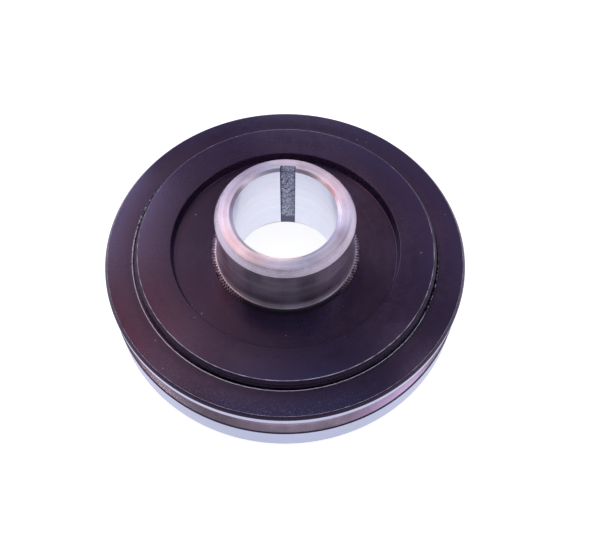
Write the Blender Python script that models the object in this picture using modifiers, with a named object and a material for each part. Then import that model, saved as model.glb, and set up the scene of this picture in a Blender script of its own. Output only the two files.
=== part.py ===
"""Crankshaft V-belt pulley with a rubber-mounted rim.

A steel sleeve is welded into a hub plate. A rubber ring on the plate's skirt carries
the grooved pulley ring, which can twist a little about the shaft.
The origin is on the shaft axis, in the plane of the rim's lower face. +Z points to the
engine side, and the keyway is on +Y. Lengths are in metres.
"""
from math import cos, pi, radians, sin, tan

import bmesh
import bpy

MM = 0.001

# Pulley ring
RIM_RADIUS = 64.0 * MM
RIM_TOP = 24.2 * MM
RIM_TOP_CHAMFER_WIDTH = 1.0 * MM
RIM_TOP_CHAMFER_HEIGHT = 1.2 * MM
RIM_BOTTOM_CHAMFER = 0.5 * MM
RIM_BORE_RADIUS = 51.9 * MM
RIM_BORE_CHAMFER = 1.0 * MM
REBATE_RADIUS = 54.1 * MM
REBATE_DEPTH = 0.8 * MM
UPPER_LAND_HEIGHT = 2.5 * MM
GROOVE_MOUTH = 9.9 * MM
GROOVE_DEPTH = 9.6 * MM
GROOVE_HALF_ANGLE = radians(18)
LAND_CHAMFER_WIDTH = 0.5 * MM
LAND_CHAMFER_HEIGHT = 0.4 * MM

# Hub plate
PLATE_TOP = 27.5 * MM
PLATE_TOP_RADIUS = 52.2 * MM
PLATE_EDGE_CHAMFER = 1.0 * MM
LIP_RADIUS = 53.6 * MM
LIP_CLEARANCE = 0.4 * MM
RECESS_RADIUS = 40.5 * MM
RECESS_FLOOR_RADIUS = 39.8 * MM
RECESS_FLOOR = 23.9 * MM
SKIRT_BOTTOM = 3.2 * MM
SKIRT_CHAMFER = 0.8 * MM
CUP_MOUTH_RADIUS = 43.6 * MM
CUP_RADIUS = 42.2 * MM
CUP_CORNER = 2.0 * MM
WEB_UNDERSIDE = 17.6 * MM
BOSS_FOOT_RADIUS = 30.5 * MM
BOSS_RADIUS = 29.5 * MM

# Hub sleeve
SLEEVE_TOP = 46.5 * MM
SLEEVE_BOTTOM = 11.6 * MM
SLEEVE_RADIUS = 23.8 * MM
SLEEVE_TOP_CHAMFER_WIDTH = 1.6 * MM
SLEEVE_TOP_CHAMFER_HEIGHT = 2.5 * MM
SPIGOT_RADIUS = 23.0 * MM
SPIGOT_CHAMFER = 0.6 * MM
BORE_RADIUS = 17.5 * MM
BORE_CHAMFER_WIDTH = 1.15 * MM
BORE_CHAMFER_HEIGHT = 0.7 * MM
LEAD_IN_WIDTH = 2.4 * MM
LEAD_IN_HEIGHT = 4.4 * MM
KEYWAY_WIDTH = 5.3 * MM
KEYWAY_FLOOR_RADIUS = 19.5 * MM
KEYWAY_CORNER = 0.5 * MM

# Weld bead and rubber
WELD_HEIGHT = 2.6 * MM
WELD_WIDTH = 2.3 * MM
WELD_FLARE_WIDTH = 1.2 * MM
WELD_TOE_HEIGHT = 0.75 * MM
RUBBER_THICKNESS = 2.6 * MM
RUBBER_BOTTOM = 4.5 * MM
RUBBER_HOLLOW = 0.8 * MM
RUBBER_TO_RING = 0.3 * MM

GAP = 0.3 * MM
LIP_UNDERSIDE = RIM_TOP - REBATE_DEPTH + LIP_CLEARANCE
SEGMENTS = 72
ARC_STEPS = 4
MERGE_DISTANCE = 0.00001
CUTTER_MARGIN = 2.0 * MM

SHARP_ANGLE = radians(25)

# Base colour, roughness and metallic value of each finish
FINISHES = {
    "black_paint": ((0.024, 0.019, 0.030, 1.0), 0.32, 0.0),
    "painted_iron": ((0.030, 0.025, 0.036, 1.0), 0.36, 0.0),
    "turned_steel": ((0.56, 0.53, 0.60, 1.0), 0.30, 1.0),
    "weld_metal": ((0.30, 0.22, 0.21, 1.0), 0.45, 1.0),
    "rubber": ((0.012, 0.012, 0.013, 1.0), 0.80, 0.0),
}


def clear_scene():
    for obj in list(bpy.data.objects):
        bpy.data.objects.remove(obj, do_unlink=True)


def make_collection(name):
    collection = bpy.data.collections.new(name)
    bpy.context.scene.collection.children.link(collection)
    return collection


def make_material(name):
    colour, roughness, metallic = FINISHES[name]
    material = bpy.data.materials.new(name)
    material.use_nodes = True
    shader = material.node_tree.nodes["Principled BSDF"]
    shader.inputs["Base Color"].default_value = colour
    shader.inputs["Roughness"].default_value = roughness
    shader.inputs["Metallic"].default_value = metallic
    return material


def arc(centre_radius, centre_height, radius, start, end):
    """Points of a profile arc, in (distance from axis, height), both ends included."""
    points = []
    for step in range(ARC_STEPS + 1):
        angle = start + (end - start) * step / ARC_STEPS
        points.append((centre_radius + radius * cos(angle), centre_height + radius * sin(angle)))
    return points


def turned(name, profile, finish, collection):
    """A ring whose closed profile starts at its top and runs down its outer side."""
    mesh = bpy.data.meshes.new(name)
    shape = bmesh.new()
    corners = [shape.verts.new((radius, 0.0, height)) for radius, height in profile]
    for index, corner in enumerate(corners):
        shape.edges.new((corner, corners[(index + 1) % len(corners)]))
    shape.to_mesh(mesh)
    shape.free()
    mesh.materials.append(make_material(finish))
    obj = bpy.data.objects.new(name, mesh)
    collection.objects.link(obj)
    screw = obj.modifiers.new("turn", "SCREW")
    screw.axis = "Z"
    screw.angle = 2 * pi
    screw.steps = SEGMENTS
    screw.render_steps = SEGMENTS
    screw.use_merge_vertices = True
    screw.merge_threshold = MERGE_DISTANCE
    return obj


def freeze(obj):
    """Applies the modifiers, then shades the round faces smooth and keeps the corners sharp."""
    evaluated = obj.evaluated_get(bpy.context.evaluated_depsgraph_get())
    mesh = bpy.data.meshes.new_from_object(evaluated)
    obj.modifiers.clear()
    obj.data = mesh
    mesh.shade_smooth()
    mesh.set_sharp_from_angle(angle=SHARP_ANGLE)


def groove_half_width(radius):
    return GROOVE_MOUTH / 2 - (RIM_RADIUS - radius) * tan(GROOVE_HALF_ANGLE)


def ring_profile():
    land_top = RIM_TOP - RIM_TOP_CHAMFER_HEIGHT
    groove_top = land_top - UPPER_LAND_HEIGHT
    groove_middle = groove_top - GROOVE_MOUTH / 2
    groove_bottom = groove_top - GROOVE_MOUTH
    root_radius = RIM_RADIUS - GROOVE_DEPTH
    root_half_width = groove_half_width(root_radius)
    lip_radius = RIM_RADIUS - LAND_CHAMFER_WIDTH
    rebate_floor = RIM_TOP - REBATE_DEPTH
    return [
        (REBATE_RADIUS, RIM_TOP),
        (RIM_RADIUS - RIM_TOP_CHAMFER_WIDTH, RIM_TOP),
        (RIM_RADIUS, land_top),
        (RIM_RADIUS, groove_top),
        (root_radius, groove_middle + root_half_width),
        (root_radius, groove_middle - root_half_width),
        (lip_radius, groove_middle - groove_half_width(lip_radius)),
        (RIM_RADIUS, groove_bottom - LAND_CHAMFER_HEIGHT),
        (RIM_RADIUS, RIM_BOTTOM_CHAMFER),
        (RIM_RADIUS - RIM_BOTTOM_CHAMFER, 0.0),
        (RIM_BORE_RADIUS + RIM_BORE_CHAMFER, 0.0),
        (RIM_BORE_RADIUS, RIM_BORE_CHAMFER),
        (RIM_BORE_RADIUS, rebate_floor),
        (REBATE_RADIUS, rebate_floor),
    ]


def plate_profile():
    skirt_radius = RIM_BORE_RADIUS - RUBBER_TO_RING - RUBBER_THICKNESS - GAP
    plate_bore = SPIGOT_RADIUS + GAP
    cup_corner = arc(CUP_RADIUS - CUP_CORNER, WEB_UNDERSIDE - CUP_CORNER, CUP_CORNER, 0, pi / 2)
    return [
        (RECESS_RADIUS, PLATE_TOP),
        (PLATE_TOP_RADIUS, PLATE_TOP),
        (PLATE_TOP_RADIUS + PLATE_EDGE_CHAMFER, PLATE_TOP - PLATE_EDGE_CHAMFER),
        (LIP_RADIUS, LIP_UNDERSIDE),
        (skirt_radius, LIP_UNDERSIDE),
        (skirt_radius, SKIRT_BOTTOM + SKIRT_CHAMFER),
        (skirt_radius - SKIRT_CHAMFER, SKIRT_BOTTOM),
        (CUP_MOUTH_RADIUS, SKIRT_BOTTOM),
        *cup_corner,
        (BOSS_FOOT_RADIUS, WEB_UNDERSIDE),
        (BOSS_RADIUS, SLEEVE_BOTTOM),
        (plate_bore, SLEEVE_BOTTOM),
        (plate_bore, RECESS_FLOOR),
        (RECESS_FLOOR_RADIUS, RECESS_FLOOR),
    ]


def sleeve_profile():
    shoulder = RECESS_FLOOR + GAP
    return [
        (BORE_RADIUS + BORE_CHAMFER_WIDTH, SLEEVE_TOP),
        (SLEEVE_RADIUS - SLEEVE_TOP_CHAMFER_WIDTH, SLEEVE_TOP),
        (SLEEVE_RADIUS, SLEEVE_TOP - SLEEVE_TOP_CHAMFER_HEIGHT),
        (SLEEVE_RADIUS, shoulder),
        (SPIGOT_RADIUS, shoulder),
        (SPIGOT_RADIUS, SLEEVE_BOTTOM + SPIGOT_CHAMFER),
        (SPIGOT_RADIUS - SPIGOT_CHAMFER, SLEEVE_BOTTOM),
        (BORE_RADIUS + LEAD_IN_WIDTH, SLEEVE_BOTTOM),
        (BORE_RADIUS, SLEEVE_BOTTOM + LEAD_IN_HEIGHT),
        (BORE_RADIUS, SLEEVE_TOP - BORE_CHAMFER_HEIGHT),
    ]


def weld_profile():
    """A fillet weld, turned to a hollow flare against the sleeve, with a raised toe outside it."""
    inner = SLEEVE_RADIUS + GAP
    floor = RECESS_FLOOR + GAP
    flare_height = WELD_HEIGHT - WELD_TOE_HEIGHT
    toe_width = WELD_WIDTH - WELD_FLARE_WIDTH
    face = []
    for step in range(ARC_STEPS + 1):
        angle = pi / 2 * step / ARC_STEPS
        radius = inner + WELD_FLARE_WIDTH * (1 - cos(angle))
        face.append((radius, floor + WELD_HEIGHT - flare_height * sin(angle)))
    for step in range(1, ARC_STEPS + 1):
        angle = pi / 2 * (1 - step / ARC_STEPS)
        radius = inner + WELD_FLARE_WIDTH + toe_width * cos(angle)
        face.append((radius, floor + WELD_TOE_HEIGHT * sin(angle)))
    return face + [(inner, floor)]


def rubber_profile():
    outer = RIM_BORE_RADIUS - RUBBER_TO_RING
    inner = outer - RUBBER_THICKNESS
    top = LIP_UNDERSIDE - GAP
    return [
        (inner, top),
        (outer, top),
        (outer, RUBBER_BOTTOM),
        ((inner + outer) / 2, RUBBER_BOTTOM + RUBBER_HOLLOW),
        (inner, RUBBER_BOTTOM),
    ]


def keyway_cutter(collection):
    """A bar with eased floor corners, through the whole bore on the +Y side."""
    shape = bmesh.new()
    bmesh.ops.create_cube(shape, size=1.0)
    length = SLEEVE_TOP - SLEEVE_BOTTOM + 2 * CUTTER_MARGIN
    middle = (SLEEVE_TOP + SLEEVE_BOTTOM) / 2
    for corner in shape.verts:
        corner.co.x *= KEYWAY_WIDTH
        corner.co.y = (corner.co.y + 0.5) * KEYWAY_FLOOR_RADIUS
        corner.co.z = middle + corner.co.z * length
    floor_edges = []
    for edge in shape.edges:
        start, end = edge.verts
        on_floor = min(start.co.y, end.co.y) > BORE_RADIUS
        along_bore = abs(start.co.z - end.co.z) > CUTTER_MARGIN
        if on_floor and along_bore:
            floor_edges.append(edge)
    bmesh.ops.bevel(shape, geom=floor_edges, offset=KEYWAY_CORNER, segments=2, profile=0.5,
                    affect="EDGES")
    mesh = bpy.data.meshes.new("keyway_cutter")
    shape.to_mesh(mesh)
    shape.free()
    cutter = bpy.data.objects.new("keyway_cutter", mesh)
    collection.objects.link(cutter)
    cutter.hide_render = True
    cutter.display_type = "WIRE"
    return cutter


def cut_keyway(sleeve, cutter):
    boolean = sleeve.modifiers.new("keyway", "BOOLEAN")
    boolean.operation = "DIFFERENCE"
    boolean.solver = "EXACT"
    boolean.object = cutter


def build():
    clear_scene()
    pulley = make_collection("v_belt_pulley")
    cutters = make_collection("cutters")
    sleeve = turned("hub_sleeve", sleeve_profile(), "turned_steel", pulley)
    cut_keyway(sleeve, keyway_cutter(cutters))
    turned("hub_weld", weld_profile(), "weld_metal", pulley)
    turned("hub_plate", plate_profile(), "black_paint", pulley)
    turned("rubber_ring", rubber_profile(), "rubber", pulley)
    turned("pulley_ring", ring_profile(), "painted_iron", pulley)
    for piece in pulley.objects:
        freeze(piece)


build()
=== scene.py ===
"""Looks of a crankshaft V-belt pulley: black turned faces, bare turned lands, a bare hub sleeve.

Every visible piece but the weld is turned again from the half-plane outline of its CAD node, with
rounded corners and finer steps, so that it keeps the CAD's size. The weld's bead has an outline
of its own, sized by the sleeve's radius and by its CAD node's box. Lengths are in metres.
"""
from math import atan2, cos, pi, radians, sin, tan

import bmesh
import bpy
from mathutils import Matrix, Vector, noise


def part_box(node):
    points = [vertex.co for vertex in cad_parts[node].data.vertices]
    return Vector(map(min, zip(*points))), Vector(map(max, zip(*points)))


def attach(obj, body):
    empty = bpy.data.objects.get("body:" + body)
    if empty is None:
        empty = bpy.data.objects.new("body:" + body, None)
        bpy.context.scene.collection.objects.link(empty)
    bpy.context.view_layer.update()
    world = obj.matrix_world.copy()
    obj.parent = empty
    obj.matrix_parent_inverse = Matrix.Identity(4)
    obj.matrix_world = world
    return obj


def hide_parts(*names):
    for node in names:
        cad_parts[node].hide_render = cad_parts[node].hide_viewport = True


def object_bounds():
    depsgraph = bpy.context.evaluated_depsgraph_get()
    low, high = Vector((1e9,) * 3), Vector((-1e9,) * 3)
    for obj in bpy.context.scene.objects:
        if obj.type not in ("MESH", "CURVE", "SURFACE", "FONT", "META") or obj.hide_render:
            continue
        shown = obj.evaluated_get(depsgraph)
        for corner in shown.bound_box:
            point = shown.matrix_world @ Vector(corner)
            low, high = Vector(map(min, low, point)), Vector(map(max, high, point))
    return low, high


MM = 0.001
SEGMENTS = 360
ON_PLANE = 1e-6

# Corner radii of the finer outlines. CHIPPED_CORNER is also how far the chips and their painted
# highlight reach
SOFT_CORNER = 0.30 * MM
CRISP_CORNER = 0.12 * MM
CHIPPED_CORNER = 0.45 * MM
CORNER_STEPS = 4

# How far bare bands, and rubbed bands with a painted highlight, reach on the ring and the plate.
# FLANK_FROM is in rim radii
RING_RUB_AND_HIGHLIGHT = 0.07 * MM
PLATE_RUB_AND_HIGHLIGHT = 0.12 * MM
LAND_SKIN = 0.03 * MM
FLANK_LEAD = 0.5 * MM
FLANK_FROM = 0.83

# Which way round the axis the wear with its painted highlights and the black weld toe face, and the
# dusty arc's radii:
# where it starts, is full, starts to fade and ends
CHIPS_AND_HIGHLIGHT_TOWARD = radians(255)
RUB_AND_HIGHLIGHT_TOWARD = radians(265)
DUST_TOWARD = radians(268)
BLACK_TOE_TOWARD = radians(278)
DUST_RADII = (56.5 * MM, 61.0 * MM, 62.6 * MM, 62.9 * MM)

# The plate sits a little off centre in the rim, eased in from this radius outwards
PLATE_RUNOUT = 0.25 * MM
RUNOUT_FROM = 49.0 * MM

# Hub sleeve: how the bands of its outline are told apart
SLEEVE_CHAMFER = 1.7 * MM
BORE_SKIN = 0.05 * MM
OUTSIDE_SKIN = 0.5 * MM
WALL_SLOPE = radians(80)
BEVEL_SLOPE = radians(40)
SHARP_ANGLE = radians(35)

# Keyway, cut through the sleeve's bore towards +Y
KEYWAY_WIDTH = 5.3 * MM
KEYWAY_FLOOR = 19.5 * MM
KEYWAY_CORNER = 0.5 * MM
KEYWAY_OVERRUN = 2.0 * MM
# Painted shade: below this height the keyway is a plain dark colour
KEYWAY_SHADE_TOP = 16.0 * MM
KEYWAY_WALL = 1.2 * MM
KEYWAY_SKIN = 0.02 * MM
# Painted shade: the keyway darkens towards its side walls between these distances from its middle
KEYWAY_SHADE_FROM = 0.41 * KEYWAY_WIDTH
KEYWAY_SHADE_FULL = 0.48 * KEYWAY_WIDTH

# Weld bead: a hollow flare against the sleeve, and a raised toe outside it
BEAD_FLARE = 1.3 * MM
BEAD_TOE_HEIGHT = 1.0 * MM
BEAD_STEPS = 10
BEAD_OVERLAP = 0.02 * MM
PLATE_GAP_CLOSED = 0.28 * MM
FOOT_SKIN = 0.01 * MM
FOOT_CLEARANCE = 0.02 * MM

# The toe's ripples lie in two rows. Towards -Y the toe is turned away and black, and
# TURNED_PULL is in toe widths
RIPPLES = 139
RIPPLE_STEPS = 12
RIPPLE_HEIGHT = 0.20 * MM
RIPPLE_LEAD = 0.35 * MM
TOE_ROWS_MEET = 25.8 * MM
TOE_WANDER = 0.15 * MM
TURNED_DROP = 0.35 * MM
TURNED_PULL = 0.30

# A back-lit table, as in a product photograph. HAZE_TOP is an angle above the horizon
FLOOR_GLOW = 0.92
FLOOR_REACH = 6.0
FLOOR_DROP = 0.02 * MM
HAZE_STRENGTH = 1.15
HAZE_TOP = radians(16)
SKY_STRENGTH = 0.22
SKY_COLOUR = (0.88, 0.86, 1.0, 1.0)
LIGHT_DISTANCE = 1.5

# Camera, from a perspective fit of the round edges. Its places are in rim radii, and the lens
# and sensor in millimetres
CAMERA_MIDDLE = 0.359
CAMERA_BACK = 2.341
CAMERA_HEIGHT = 3.717
CAMERA_AZIMUTH = radians(-86.9)
AIM_ASIDE = 0.0874
AIM_FORWARD = -0.1895
CAMERA_ROLL = radians(1.26)
CAMERA_LENS = 47.1
SENSOR_WIDTH = 36.0
CLIP_START = 0.01


# ---------------------------------------------------------------- outlines and turning

def clamped(value):
    return min(max(value, 0), 1)


def cad_outline(node):
    """The CAD node's closed outline in the half-plane of +X, as (radius, height), starting at
    its highest and outermost corner and running down the outer side."""
    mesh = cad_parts[node].data
    places = {}
    for vertex in mesh.vertices:
        if abs(vertex.co.y) < ON_PLANE and vertex.co.x > 0:
            places[vertex.index] = (round(vertex.co.x, 6), round(vertex.co.z, 6))
    links = {}
    for edge in mesh.edges:
        start, end = edge.vertices
        if start in places and end in places and places[start] != places[end]:
            links.setdefault(places[start], set()).add(places[end])
            links.setdefault(places[end], set()).add(places[start])
    top = max(links, key=lambda place: (place[1], place[0]))
    down = min(links[top], key=lambda place: place[1] - place[0])
    outline = [top, down]
    while True:
        ahead = [place for place in links[outline[-1]] if place != outline[-2]]
        if ahead[0] == top:
            return outline
        outline.append(ahead[0])


def rounded(outline, radius_at):
    """The outline with each corner replaced by a curve. radius_at(corner) gives its radius."""
    points = []
    count = len(outline)
    for index, corner in enumerate(outline):
        here = Vector(corner)
        before = Vector(outline[index - 1]) - here
        after = Vector(outline[(index + 1) % count]) - here
        half = before.angle(after) / 2
        reach = min(radius_at(corner) / max(tan(half), 1e-6), 0.4 * before.length, 0.4 * after.length)
        start = here + before.normalized() * reach
        end = here + after.normalized() * reach
        for step in range(CORNER_STEPS + 1):
            share = step / CORNER_STEPS
            bend = (1 - share) ** 2 * start + 2 * share * (1 - share) * here + share ** 2 * end
            points.append((bend.x, bend.y))
    return points


def mesh_object(name, shape, finishes=()):
    """The bmesh as an object in the scene, with these materials."""
    mesh = bpy.data.meshes.new(name)
    shape.to_mesh(mesh)
    shape.free()
    for finish in finishes:
        mesh.materials.append(finish)
    obj = bpy.data.objects.new(name, mesh)
    bpy.context.scene.collection.objects.link(obj)
    return obj


def turned(name, outline, finishes, finish_of, segments=SEGMENTS, shift=None):
    """A closed ring from an outline. finish_of(radius, height, slope) picks each band's material
    from finishes, and shift(radius, height, angle) may move a point in its own half-plane."""
    shape = bmesh.new()
    columns = []
    for segment in range(segments):
        angle = 2 * pi * segment / segments
        column = []
        for radius, height in outline:
            if shift:
                radius, height = shift(radius, height, angle)
            column.append(shape.verts.new((radius * cos(angle), radius * sin(angle), height)))
        columns.append(column)
    count = len(outline)
    bands = []
    for row in range(count):
        radius, height = outline[row]
        radius_below, height_below = outline[(row + 1) % count]
        slope = atan2(abs(height - height_below), abs(radius - radius_below))
        finish = finish_of((radius + radius_below) / 2, (height + height_below) / 2, slope)
        bands.append(finishes.index(finish))
    for segment in range(segments):
        here, beside = columns[segment], columns[(segment + 1) % segments]
        for row in range(count):
            below = (row + 1) % count
            face = shape.faces.new((here[row], here[below], beside[below], beside[row]))
            face.material_index = bands[row]
            face.smooth = True
    return mesh_object(name, shape, finishes)


# ---------------------------------------------------------------- materials

class Nodes:
    """Short calls for building a node material. A point's x, y, z and radius are in its own
    object's space, whose Z is the pulley's axis."""

    def __init__(self, name):
        self.material = bpy.data.materials.new(name)
        self.material.use_nodes = True
        self.tree = self.material.node_tree
        self.shader = self.tree.nodes["Principled BSDF"]
        self.place = self.tree.nodes.new("ShaderNodeTexCoord").outputs["Object"]
        split = self.tree.nodes.new("ShaderNodeSeparateXYZ")
        self.feed(split.inputs[0], self.place)
        self.x, self.y, self.z = split.outputs
        squares = self.plus(self.times(self.x, self.x), self.times(self.y, self.y))
        self.radius = self.math("SQRT", squares)

    def feed(self, socket, value):
        """Links an output to the socket, or sets a plain value on it."""
        if isinstance(value, bpy.types.NodeSocket):
            self.tree.links.new(value, socket)
        else:
            socket.default_value = value

    def put(self, name, value):
        """Feeds one of the shader's inputs."""
        self.feed(self.shader.inputs[name], value)

    def math(self, operation, *values):
        node = self.tree.nodes.new("ShaderNodeMath")
        node.operation = operation
        for socket, value in zip(node.inputs, values):
            self.feed(socket, value)
        return node.outputs[0]

    def plus(self, first, second):
        return self.math("ADD", first, second)

    def times(self, first, second):
        return self.math("MULTIPLY", first, second)

    def blend(self, first, second, share):
        """A weighted mean of two values. share is how much of it is the second."""
        return self.plus(self.times(first, 1 - share), self.times(second, share))

    def combine(self, *values):
        node = self.tree.nodes.new("ShaderNodeCombineXYZ")
        for socket, value in zip(node.inputs, values):
            self.feed(socket, value)
        return node.outputs[0]

    def noise(self, vector, scale, detail=2.0, roughness=0.5):
        node = self.tree.nodes.new("ShaderNodeTexNoise")
        self.feed(node.inputs["Vector"], vector)
        self.feed(node.inputs["Scale"], scale)
        self.feed(node.inputs["Detail"], detail)
        self.feed(node.inputs["Roughness"], roughness)
        return node.outputs["Fac"]

    def cells(self, vector, scale):
        node = self.tree.nodes.new("ShaderNodeTexVoronoi")
        self.feed(node.inputs["Vector"], vector)
        self.feed(node.inputs["Scale"], scale)
        return node.outputs["Distance"]

    def ramp(self, value, *stops):
        """A colour from a value. Each stop is (value, colour)."""
        node = self.tree.nodes.new("ShaderNodeValToRGB")
        self.feed(node.inputs[0], value)
        elements = node.color_ramp.elements
        while len(elements) < len(stops):
            elements.new(0.5)
        for element, (position, colour) in zip(elements, stops):
            element.position = position
            element.color = (*colour, 1.0)
        return node.outputs[0]

    def spread(self, value, low, high, low_out, high_out):
        """The value's range from low to high, stretched to run from low_out to high_out."""
        node = self.tree.nodes.new("ShaderNodeMapRange")
        self.feed(node.inputs["Value"], value)
        self.feed(node.inputs["From Min"], low)
        self.feed(node.inputs["From Max"], high)
        self.feed(node.inputs["To Min"], low_out)
        self.feed(node.inputs["To Max"], high_out)
        return node.outputs[0]

    def vary(self, texture, low_out, high_out):
        """A noise texture, which mostly lies between 0.3 and 0.7, spread over a new range."""
        return self.spread(texture, 0.3, 0.7, low_out, high_out)

    def mix(self, share, first, second):
        """A blend of two colours, each an output or three plain numbers."""
        node = self.tree.nodes.new("ShaderNodeMix")
        node.data_type = "RGBA"
        self.feed(node.inputs["Factor"], share)
        sockets = [socket for socket in node.inputs if socket.type == "RGBA"]
        for socket, value in zip(sockets, (first, second)):
            self.feed(socket, (*value, 1.0) if isinstance(value, tuple) else value)
        return [socket for socket in node.outputs if socket.type == "RGBA"][0]

    def bump(self, height, strength, distance):
        node = self.tree.nodes.new("ShaderNodeBump")
        self.feed(node.inputs["Strength"], strength)
        self.feed(node.inputs["Distance"], distance)
        self.feed(node.inputs["Height"], height)
        self.put("Normal", node.outputs[0])

    def turned_grain(self, anisotropy):
        """Highlights drawn out across the marks of a lathe tool."""
        tangent = self.tree.nodes.new("ShaderNodeTangent")
        tangent.direction_type = "RADIAL"
        tangent.axis = "Z"
        self.put("Tangent", tangent.outputs[0])
        self.put("Anisotropic", anisotropy)
        self.put("Anisotropic Rotation", 0.25)

    def toward(self, angle):
        """From -1 to 1: how far a point lies towards this angle round the axis."""
        along = self.plus(self.times(self.x, cos(angle)), self.times(self.y, sin(angle)))
        return self.math("DIVIDE", along, self.radius)

    def axial_place(self):
        """(radius, height, 0): constant round the axis, so that a texture on it makes rings."""
        return self.combine(self.radius, self.z, 0.0)


def black_paint():
    """Black paint on turned metal, with pale specks, and dust along an arc of the ring's top."""
    nodes = Nodes("black_paint")
    rings = nodes.axial_place()
    fine_rings = nodes.noise(rings, 5200.0, 3.0, 0.7)
    wide_rings = nodes.noise(rings, 420.0)
    clouds = nodes.noise(nodes.place, 38.0, 4.0)
    tint = nodes.ramp(clouds, (0.30, (0.0060, 0.0022, 0.0115)), (0.70, (0.0095, 0.0032, 0.0140)))
    in_speck = nodes.math("LESS_THAN", nodes.cells(nodes.place, 230.0), 0.075)
    kept = nodes.math("GREATER_THAN", nodes.noise(nodes.place, 61.0), 0.58)
    specked = nodes.mix(nodes.times(in_speck, kept), tint, (0.16, 0.14, 0.19))
    dust_inner, dust_full, dust_outer, dust_end = DUST_RADII
    dusty_side = nodes.spread(nodes.toward(DUST_TOWARD), 0.78, 0.98, 0.0, 1.0)
    dusty_band = nodes.times(nodes.spread(nodes.radius, dust_inner, dust_full, 0.0, 1.0),
                             nodes.spread(nodes.radius, dust_outer, dust_end, 1.0, 0.0))
    grains = nodes.spread(nodes.noise(nodes.place, 2300.0, 2.0, 0.6), 0.55, 0.68, 0.0, 1.0)
    dust = nodes.times(grains, nodes.times(dusty_side, dusty_band))
    nodes.put("Base Color", nodes.mix(dust, specked, (0.075, 0.080, 0.135)))
    mottle = nodes.noise(nodes.place, 420.0, 3.0, 0.6)
    unevenness = nodes.plus(nodes.vary(wide_rings, -0.02, 0.03), nodes.vary(mottle, -0.03, 0.04))
    nodes.put("Roughness", nodes.plus(nodes.vary(clouds, 0.19, 0.28), unevenness))
    nodes.put("Specular IOR Level", 0.62)
    nodes.put("Specular Tint", (0.88, 0.66, 1.0, 1.0))
    nodes.turned_grain(0.85)
    orange_peel = nodes.times(nodes.noise(nodes.place, 1100.0, 3.0), 0.8)
    nodes.bump(nodes.plus(fine_rings, orange_peel), 0.45, 0.016 * MM)
    return nodes.material


def chipped_and_highlit_edge():
    """Black paint chipped off a corner to bright metal, with a painted highlight that makes the
    corner pale nearly all along the side towards -Y.
    """
    nodes = Nodes("chipped_and_highlit_edge")
    chips = nodes.noise(nodes.place, 1100.0, 3.0, 0.6)
    # Painted highlight: the pale metal colour grows towards -Y
    worn_and_highlit = nodes.plus(chips, nodes.times(nodes.toward(CHIPS_AND_HIGHLIGHT_TOWARD), 0.36))
    highlit_and_bare = nodes.spread(worn_and_highlit, 0.50, 0.60, 0.0, 1.0)
    nodes.put("Base Color", nodes.mix(highlit_and_bare, (0.012, 0.006, 0.018), (0.95, 0.94, 0.98)))
    nodes.put("Roughness", nodes.vary(chips, 0.30, 0.50))
    nodes.bump(chips, 0.5, 0.03 * MM)
    return nodes.material


def rubbed_and_highlit_edge():
    """Black paint rubbed thin along a corner, with a painted highlight that lightens it to grey, more
    towards -Y.
    """
    nodes = Nodes("rubbed_and_highlit_edge")
    rub_and_highlight = nodes.noise(nodes.place, 320.0, 4.0, 0.6)
    # Painted highlight: lighter towards -Y
    worn_and_highlit = nodes.plus(rub_and_highlight, nodes.times(nodes.toward(RUB_AND_HIGHLIGHT_TOWARD), 0.16))
    highlit_and_bare = nodes.spread(worn_and_highlit, 0.42, 0.72, 0.10, 0.80)
    nodes.put("Base Color", nodes.mix(highlit_and_bare, (0.012, 0.006, 0.020), (0.74, 0.71, 0.84)))
    nodes.put("Roughness", nodes.vary(rub_and_highlight, 0.26, 0.36))
    nodes.bump(rub_and_highlight, 0.3, 0.01 * MM)
    return nodes.material


def turned_metal(name, light, dark, roughness, anisotropy, ring_scale, ring_depth,
                 metallic=1.0, highlight_streaks=0.0):
    """Metal with turning rings. A share of painted highlights, drawn as long streaks that run along
    the axis, can be mixed into its colour.
    """
    nodes = Nodes(name)
    rings = nodes.axial_place()
    fine_rings = nodes.noise(rings, ring_scale, 3.0, 0.75)
    wide_rings = nodes.noise(rings, ring_scale / 3)
    clouds = nodes.noise(nodes.place, 60.0, 4.0, 0.6)
    smudge_and_highlights = nodes.blend(clouds, nodes.blend(wide_rings, fine_rings, 0.6), 0.5)
    if highlight_streaks:
        # Painted highlights: streaks that run along the axis
        stretched = nodes.combine(nodes.x, nodes.y, nodes.times(nodes.z, 0.05))
        smudge_and_highlights = nodes.blend(smudge_and_highlights, nodes.noise(stretched, 160.0, 3.0, 0.6), highlight_streaks)
    nodes.put("Base Color", nodes.ramp(smudge_and_highlights, (0.40, dark), (0.57, light)))
    nodes.put("Metallic", metallic)
    nodes.put("Roughness", nodes.plus(nodes.vary(clouds, roughness - 0.03, roughness + 0.04),
                                      nodes.vary(fine_rings, -0.03, 0.03)))
    nodes.turned_grain(anisotropy)
    nodes.bump(fine_rings, 0.5, ring_depth)
    return nodes.material


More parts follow.
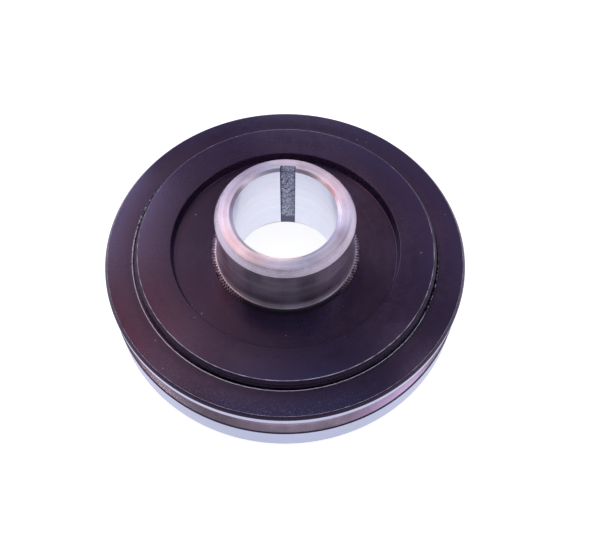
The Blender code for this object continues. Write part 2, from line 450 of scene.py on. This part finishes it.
def broached_steel():
    """The keyway's torn, grainy grey faces, with painted shade: darker along its corners, and a plain
    dark lower end.
    """
    nodes = Nodes("broached_steel")
    stretched = nodes.combine(nodes.x, nodes.y, nodes.times(nodes.z, 1.3))
    tears = nodes.noise(stretched, 1500.0, 2.0, 0.6)
    patches = nodes.noise(nodes.place, 450.0, 3.0, 0.6)
    from_middle = nodes.math("ABSOLUTE", nodes.x)
    # Painted shade, darker towards the side walls
    painted_corner_shade = nodes.spread(from_middle, KEYWAY_SHADE_FROM, KEYWAY_SHADE_FULL, 0.0, 0.14)
    marks_and_painted_light = nodes.math("SUBTRACT", nodes.blend(tears, patches, 0.25), painted_corner_shade)
    torn = nodes.ramp(marks_and_painted_light, (0.38, (0.08, 0.085, 0.16)), (0.48, (0.24, 0.25, 0.36)),
                      (0.60, (0.66, 0.67, 0.82)))
    # Painted shade: a plain dark colour over the keyway's lower end
    painted_end_shade = nodes.spread(nodes.z, KEYWAY_SHADE_TOP, KEYWAY_SHADE_TOP + 0.5 * MM, 1.0, 0.0)
    nodes.put("Base Color", nodes.mix(painted_end_shade, torn, (0.10, 0.105, 0.19)))
    nodes.put("Metallic", 0.6)
    nodes.put("Roughness", 0.55)
    nodes.bump(marks_and_painted_light, 0.9, 0.12 * MM)
    return nodes.material


def weld_metal():
    """Heat-stained weld toe with two rows of ripples, black towards -Y. Painted highlight and shade:
    the ripples' crests are coloured lighter and their troughs darker.
    """
    nodes = Nodes("weld_metal")
    stain = nodes.noise(nodes.place, 700.0, 4.0, 0.65)
    outer_row = nodes.times(nodes.math("GREATER_THAN", nodes.radius, TOE_ROWS_MEET), pi)
    turn = nodes.times(nodes.math("ARCTAN2", nodes.y, nodes.x), RIPPLES)
    crest = nodes.math("SINE", nodes.plus(turn, outer_row))
    # Painted highlight and shade: crests lighter, troughs darker
    marks_and_painted_light = nodes.plus(nodes.times(crest, 0.16), stain)
    highlit_and_bare = nodes.ramp(marks_and_painted_light, (0.42, (0.035, 0.022, 0.030)), (0.54, (0.30, 0.21, 0.23)),
                      (0.68, (0.80, 0.64, 0.66)))
    side = nodes.plus(nodes.toward(BLACK_TOE_TOWARD), nodes.times(stain, 0.5))
    blackened = nodes.spread(side, 0.75, 1.05, 0.0, 1.0)
    nodes.put("Base Color", nodes.mix(blackened, highlit_and_bare, (0.012, 0.006, 0.018)))
    nodes.put("Metallic", nodes.spread(blackened, 0.0, 1.0, 0.35, 0.0))
    nodes.put("Roughness", nodes.vary(stain, 0.28, 0.50))
    nodes.bump(marks_and_painted_light, 0.6, 0.05 * MM)
    return nodes.material


def rubber():
    """Matt, fine-grained black rubber."""
    nodes = Nodes("rubber")
    grain = nodes.noise(nodes.place, 1300.0, 4.0, 0.6)
    clouds = nodes.noise(nodes.place, 90.0, 3.0)
    tint = nodes.ramp(clouds, (0.3, (0.010, 0.010, 0.011)), (0.7, (0.022, 0.021, 0.023)))
    nodes.put("Base Color", tint)
    nodes.put("Roughness", nodes.vary(grain, 0.62, 0.82))
    nodes.bump(grain, 0.5, 0.05 * MM)
    return nodes.material


def studio_floor():
    """A pale floor that glows by itself, as a back-lit table does."""
    nodes = Nodes("studio_floor")
    mottle = nodes.noise(nodes.place, 6.0)
    nodes.put("Base Color", nodes.ramp(mottle, (0.3, (0.49, 0.49, 0.50)), (0.7, (0.51, 0.51, 0.52))))
    nodes.put("Roughness", 0.9)
    nodes.put("Specular IOR Level", 0.1)
    nodes.put("Emission Color", (0.97, 0.98, 1.0, 1.0))
    nodes.put("Emission Strength", FLOOR_GLOW)
    return nodes.material


# ---------------------------------------------------------------- pieces

def make_pulley_ring():
    outline = cad_outline("pulley_ring")
    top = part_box("pulley_ring")[1].z
    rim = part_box("pulley_ring")[1].x
    top_radii = [radius for radius, height in outline if height > top - ON_PLANE]
    rebate = min(top_radii)
    top_edge = max(top_radii)
    land_heights = sorted(height for radius, height in outline if radius > rim - ON_PLANE)
    lower_land_top, upper_land_bottom, upper_land_top = land_heights[-3:]
    # Painted reflections: the lands and the groove's flanks are one bare steel, tinted lavender on
    # the lands and lighter and pinker on the flanks
    lands = turned_metal("turned_lands", (0.46, 0.49, 0.66), (0.41, 0.43, 0.58), 0.30, 0.5,
                         5200.0, 0.012 * MM)
    flanks = turned_metal("groove_flanks", (0.84, 0.72, 0.84), (0.52, 0.40, 0.48), 0.21, 0.6,
                          1500.0, 0.003 * MM)

    def corner_radius(corner):
        radius, height = corner
        if height < upper_land_top - ON_PLANE:
            return SOFT_CORNER
        if radius > rebate + ON_PLANE:
            return CRISP_CORNER
        return CHIPPED_CORNER if height > top - ON_PLANE else SOFT_CORNER

    def finish(radius, height, slope):
        if abs(radius - rebate) < CHIPPED_CORNER and height > top - CHIPPED_CORNER:
            return CHIPPED_AND_HIGHLIT
        if abs(radius - top_edge) < RING_RUB_AND_HIGHLIGHT and height > top - RING_RUB_AND_HIGHLIGHT:
            return RUBBED_AND_HIGHLIT
        if radius > rim - LAND_SKIN and height < upper_land_top:
            return lands
        if lower_land_top + FLANK_LEAD < height < upper_land_bottom and radius > FLANK_FROM * rim:
            return flanks
        return PAINT

    finishes = [PAINT, lands, flanks, CHIPPED_AND_HIGHLIT, RUBBED_AND_HIGHLIT]
    ring = turned("rim_with_groove", rounded(outline, corner_radius), finishes, finish)
    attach(ring, "rim")
    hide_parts("pulley_ring")


def make_hub_plate():
    outline = cad_outline("hub_plate")
    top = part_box("hub_plate")[1].z
    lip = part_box("hub_plate")[1].x
    top_edge = max(radius for radius, height in outline if height > top - ON_PLANE)

    def off_centre(radius, height, angle):
        share = clamped((radius - RUNOUT_FROM) / (lip - RUNOUT_FROM))
        return radius + PLATE_RUNOUT * share * cos(angle), height

    def finish(radius, height, slope):
        on_outer_edge = abs(radius - top_edge) < PLATE_RUB_AND_HIGHLIGHT and height > top - PLATE_RUB_AND_HIGHLIGHT
        return RUBBED_AND_HIGHLIT if on_outer_edge else PAINT

    plate = turned("black_hub_plate", rounded(outline, lambda corner: SOFT_CORNER),
                   [PAINT, RUBBED_AND_HIGHLIT], finish, shift=off_centre)
    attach(plate, "hub")
    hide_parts("hub_plate")


def keyway_cutter(low, high):
    """A bar from the axis out to the keyway's floor, with two rounded edges, past both ends."""
    shape = bmesh.new()
    bmesh.ops.create_cube(shape, size=1.0)
    for corner in shape.verts:
        corner.co.x *= KEYWAY_WIDTH
        corner.co.y = (corner.co.y + 0.5) * KEYWAY_FLOOR
        corner.co.z = (low + high) / 2 + corner.co.z * (high - low + 2 * KEYWAY_OVERRUN)
    floor_edges = [edge for edge in shape.edges
                   if min(corner.co.y for corner in edge.verts) > 0.9 * KEYWAY_FLOOR
                   and abs(edge.verts[0].co.z - edge.verts[1].co.z) > KEYWAY_OVERRUN]
    bmesh.ops.bevel(shape, geom=floor_edges, offset=KEYWAY_CORNER, segments=4, profile=0.5,
                    affect="EDGES")
    return mesh_object("keyway_cutter", shape)


def cut_keyway(sleeve, low, high):
    """Cuts the keyway out of the sleeve's mesh."""
    cutter = keyway_cutter(low, high)
    boolean = sleeve.modifiers.new("keyway", "BOOLEAN")
    boolean.operation = "DIFFERENCE"
    boolean.solver = "EXACT"
    boolean.object = cutter
    evaluated = sleeve.evaluated_get(bpy.context.evaluated_depsgraph_get())
    mesh = bpy.data.meshes.new_from_object(evaluated)
    sleeve.modifiers.clear()
    sleeve.data = mesh
    bpy.data.objects.remove(cutter)


def finish_keyway(mesh, bore, torn):
    """Gives the keyway's sides and floor the material with the number torn."""
    for polygon in mesh.polygons:
        centre = polygon.center
        across = abs(centre.x) < KEYWAY_WIDTH / 2 + KEYWAY_SKIN
        level = abs(polygon.normal.z) < 0.1
        on_side = abs(polygon.normal.x) > 0.9 and centre.y > 0.9 * bore
        on_floor = bore + KEYWAY_WALL < centre.y < KEYWAY_FLOOR + KEYWAY_SKIN
        if across and level and (on_side or on_floor):
            polygon.material_index = torn


def make_hub_sleeve():
    outline = cad_outline("hub_sleeve")
    low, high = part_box("hub_sleeve")
    bore = min(radius for radius, height in outline)
    # Painted light and shade: the sleeve is one steel, coloured lightest and bluest in its bore and
    # darkest on its outside
    face = turned_metal("turned_face", (0.73, 0.70, 0.71), (0.51, 0.42, 0.43), 0.34, 0.85,
                        1900.0, 0.03 * MM)
    wall = turned_metal("bored_wall", (0.82, 0.83, 0.93), (0.73, 0.74, 0.86), 0.30, 0.5,
                        4200.0, 0.012 * MM)
    outside = turned_metal("turned_outside", (0.66, 0.57, 0.71), (0.27, 0.20, 0.27), 0.30, 0.9,
                           800.0, 0.01 * MM, highlight_streaks=0.22)
    bevel = turned_metal("turned_bevel", (0.66, 0.60, 0.70), (0.42, 0.36, 0.42), 0.26, 0.85,
                         1500.0, 0.03 * MM)
    torn = broached_steel()

    def finish(radius, height, slope):
        on_wall = slope > WALL_SLOPE
        by_top_edge = radius > high.x - SLEEVE_CHAMFER and height > high.z - 2 * SLEEVE_CHAMFER
        if radius < bore + BORE_SKIN:
            return wall
        if by_top_edge and not on_wall:
            return bevel if slope > BEVEL_SLOPE else face
        return outside if on_wall and radius > high.x - OUTSIDE_SKIN else face

    finishes = [face, wall, outside, torn, bevel]
    crisp_outline = rounded(outline, lambda corner: CRISP_CORNER)
    sleeve = turned("steel_hub_sleeve", crisp_outline, finishes, finish)
    cut_keyway(sleeve, low.z, high.z)
    finish_keyway(sleeve.data, bore, finishes.index(torn))
    sleeve.data.set_sharp_from_angle(angle=SHARP_ANGLE)
    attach(sleeve, "hub")
    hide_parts("hub_sleeve")


def bead_share(angle):
    """How much of the as-welded toe is left: all of it but towards -Y."""
    return clamped(0.5 - 0.9 * cos(angle - BLACK_TOE_TOWARD))


def bead_outline():
    """The bead's face, from its top on the sleeve down a hollow flare and over its raised toe.
    It ends at the corner under the flare, and its last two points are its foot."""
    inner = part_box("hub_sleeve")[1].x - BEAD_OVERLAP
    low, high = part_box("hub_weld")
    foot = low.z - PLATE_GAP_CLOSED
    height = high.z - foot
    toe_width = high.x - inner - BEAD_FLARE
    face = []
    for step in range(BEAD_STEPS + 1):
        angle = pi / 2 * step / BEAD_STEPS
        radius = inner + BEAD_FLARE * (1 - cos(angle))
        face.append((radius, foot + height - (height - BEAD_TOE_HEIGHT) * sin(angle)))
    for step in range(1, BEAD_STEPS + 1):
        angle = pi / 2 * (1 - step / BEAD_STEPS)
        radius = inner + BEAD_FLARE + toe_width * cos(angle)
        face.append((radius, foot + BEAD_TOE_HEIGHT * sin(angle)))
    return face + [(inner, foot)]


def make_weld():
    outline = bead_outline()
    inner, foot = outline[-1]
    toe_from = inner + BEAD_FLARE
    toe_width = outline[-2][0] - toe_from

    def ripple(radius, height, angle):
        out = clamped((radius - toe_from + RIPPLE_LEAD) / (toe_width + RIPPLE_LEAD))
        if out == 0 or height < foot + FOOT_SKIN:
            return radius, height
        spot = Vector((cos(angle), sin(angle), 0))
        share = bead_share(angle)
        wander = noise.noise(spot * 9) * TOE_WANDER
        bow = 0.25 * (out - 0.5) ** 2
        phase = angle * RIPPLES / (2 * pi) + bow + 0.30 * noise.noise(spot * 20)
        crest = abs(sin(pi * phase)) ** 0.7
        rows = 0.45 + 0.55 * cos(4 * pi * (out - 0.25)) ** 2
        fade = sin(pi * out) ** 0.5 if 0 < out < 1 else 0
        lift = fade * share * (crest * rows * RIPPLE_HEIGHT - 0.5 * RIPPLE_HEIGHT + wander)
        drop = (1 - share) * TURNED_DROP * max(out - 0.3, 0)
        pull = (1 - share) * TURNED_PULL * toe_width * out
        return radius - pull + 0.4 * lift, max(height + lift - drop, foot + FOOT_CLEARANCE)

    flare = turned_metal("turned_bead", (0.66, 0.58, 0.66), (0.30, 0.24, 0.28), 0.38, 0.6,
                         1500.0, 0.03 * MM, metallic=0.7)
    toe = weld_metal()

    def finish(radius, height, slope):
        return toe if radius > toe_from or height < foot + FOOT_SKIN else flare

    bead = turned("weld_bead", outline, [flare, toe], finish, RIPPLES * RIPPLE_STEPS, ripple)
    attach(bead, "hub")
    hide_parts("hub_weld")


def make_rubber():
    outline = rounded(cad_outline("rubber_ring"), lambda corner: SOFT_CORNER)
    black_rubber = rubber()
    ring = turned("damper_rubber", outline, [black_rubber], lambda *place: black_rubber)
    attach(ring, "hub")
    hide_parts("rubber_ring")


# ---------------------------------------------------------------- studio

def make_floor():
    shape = bmesh.new()
    bmesh.ops.create_grid(shape, x_segments=8, y_segments=8, size=FLOOR_REACH)
    floor = mesh_object("studio_floor", shape, [studio_floor()])
    floor.location.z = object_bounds()[0].z - FLOOR_DROP


def make_world():
    """Pale haze at the horizon, fading to a dim sky."""
    world = bpy.data.worlds.new("studio")
    world.use_nodes = True
    tree = world.node_tree
    background = tree.nodes["Background"]
    background.inputs["Color"].default_value = SKY_COLOUR
    place = tree.nodes.new("ShaderNodeTexCoord")
    split = tree.nodes.new("ShaderNodeSeparateXYZ")
    fade = tree.nodes.new("ShaderNodeMapRange")
    fade.inputs["From Min"].default_value = 0.0
    fade.inputs["From Max"].default_value = sin(HAZE_TOP)
    fade.inputs["To Min"].default_value = HAZE_STRENGTH
    fade.inputs["To Max"].default_value = SKY_STRENGTH
    tree.links.new(place.outputs["Generated"], split.inputs[0])
    tree.links.new(split.outputs["Z"], fade.inputs["Value"])
    tree.links.new(fade.outputs[0], background.inputs["Strength"])
    bpy.context.scene.world = world


def add_softbox(name, azimuth, elevation, width, radiance):
    """A square soft light, aimed at the origin. Its direction and angular width are in degrees."""
    around = radians(azimuth)
    above = radians(elevation)
    direction = Vector((cos(above) * cos(around), cos(above) * sin(around), sin(above)))
    brightest = max(radiance)
    light = bpy.data.lights.new(name, "AREA")
    light.shape = "SQUARE"
    light.size = 2 * LIGHT_DISTANCE * tan(radians(width / 2))
    light.energy = pi * light.size ** 2 * brightest
    light.color = [channel / brightest for channel in radiance]
    lamp = bpy.data.objects.new(name, light)
    lamp.location = LIGHT_DISTANCE * direction
    lamp.rotation_euler = direction.to_track_quat("Z", "Y").to_euler()
    lamp.visible_camera = False
    bpy.context.scene.collection.objects.link(lamp)


def make_lights():
    add_softbox("window_left", 129, 42, 18, (3.2, 3.4, 4.9))
    add_softbox("window_far_left", 146, 41, 15, (2.8, 2.5, 2.9))
    add_softbox("warm_left", 153, 57, 18, (1.7, 0.05, 0.05))
    add_softbox("high_left", 118, 62, 20, (1.8, 1.3, 1.2))
    add_softbox("back_low", 90, 18, 16, (5.6, 4.0, 3.7))
    add_softbox("back_middle", 90, 36, 16, (0.7, 1.0, 1.8))
    add_softbox("back_left", 115, 30, 24, (0.7, 0.7, 1.5))
    add_softbox("back_right", 60, 40, 34, (0.5, 0.5, 0.9))
    add_softbox("high_right", 46, 62, 22, (0.3, 0.3, 0.4))
    add_softbox("right", 338, 48, 30, (0.5, 0.42, 0.65))
    add_softbox("groove_left", 166, 65, 10, (6.2, 5.6, 5.8))
    add_softbox("groove_right", 20, 64, 10, (5.8, 5.6, 6.0))
    add_softbox("overhead", 90, 84, 20, (0.5, 0.95, 1.7))


def make_camera():
    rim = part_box("pulley_ring")[1].x
    middle = Vector((0, 0, CAMERA_MIDDLE * rim))
    outward = Vector((cos(CAMERA_AZIMUTH), sin(CAMERA_AZIMUTH), 0))
    place = middle + rim * (CAMERA_BACK * outward + CAMERA_HEIGHT * Vector((0, 0, 1)))
    aim = middle + rim * Vector((AIM_ASIDE, AIM_FORWARD, 0))
    data = bpy.data.cameras.new("camera")
    data.lens = CAMERA_LENS
    data.sensor_width = SENSOR_WIDTH
    data.clip_start = CLIP_START
    camera = bpy.data.objects.new("camera", data)
    look = (aim - place).to_track_quat("-Z", "Y").to_matrix().to_4x4()
    camera.matrix_world = Matrix.Translation(place) @ look @ Matrix.Rotation(CAMERA_ROLL, 4, "Z")
    bpy.context.scene.collection.objects.link(camera)
    bpy.context.scene.camera = camera


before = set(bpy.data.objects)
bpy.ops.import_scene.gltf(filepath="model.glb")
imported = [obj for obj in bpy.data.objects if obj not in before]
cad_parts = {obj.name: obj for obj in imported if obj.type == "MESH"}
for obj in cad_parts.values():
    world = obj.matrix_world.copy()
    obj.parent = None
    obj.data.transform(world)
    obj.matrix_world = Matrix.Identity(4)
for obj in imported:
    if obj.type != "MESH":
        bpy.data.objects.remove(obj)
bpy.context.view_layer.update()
bpy.context.scene.view_settings.view_transform = "Standard"
PAINT = black_paint()
CHIPPED_AND_HIGHLIT = chipped_and_highlit_edge()
RUBBED_AND_HIGHLIT = rubbed_and_highlit_edge()
make_pulley_ring()
make_hub_plate()
make_hub_sleeve()
make_weld()
make_rubber()
make_floor()
make_world()
make_lights()
make_camera()
